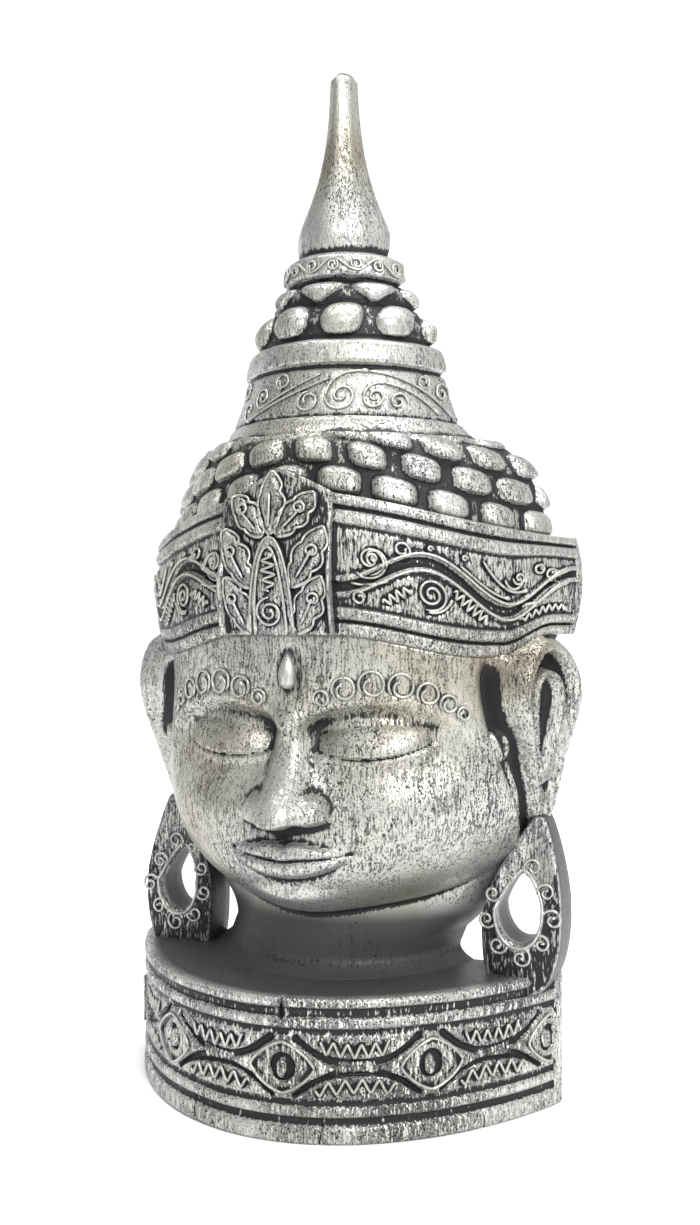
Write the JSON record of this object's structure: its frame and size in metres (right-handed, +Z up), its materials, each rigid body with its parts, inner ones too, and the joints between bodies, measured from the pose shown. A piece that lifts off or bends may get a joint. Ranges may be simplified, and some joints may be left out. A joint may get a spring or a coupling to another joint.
{
  "type": "carved wooden buddha head",
  "caption": "Half-round wooden buddha head with crown, topknot, spire and pierced earlobes, carved in one with its banded plinth; flat back, antique silver finish",
  "frame": {"origin": "on the ground under the middle of the part's box, seen from above", "axes": "+Z up, the face looks along -Y, the flat back faces +Y, the figure's left ear is at +X"},
  "size_m": [0.1974, 0.0812, 0.419],
  "materials": {
    "silvered_wood": "carved wood, painted black and rubbed with antique silver, dark in the cuts, with faint brown wear"
  },
  "bodies": {
    "root": {"buddha_head": "silvered_wood"}
  },
  "joints": []
}
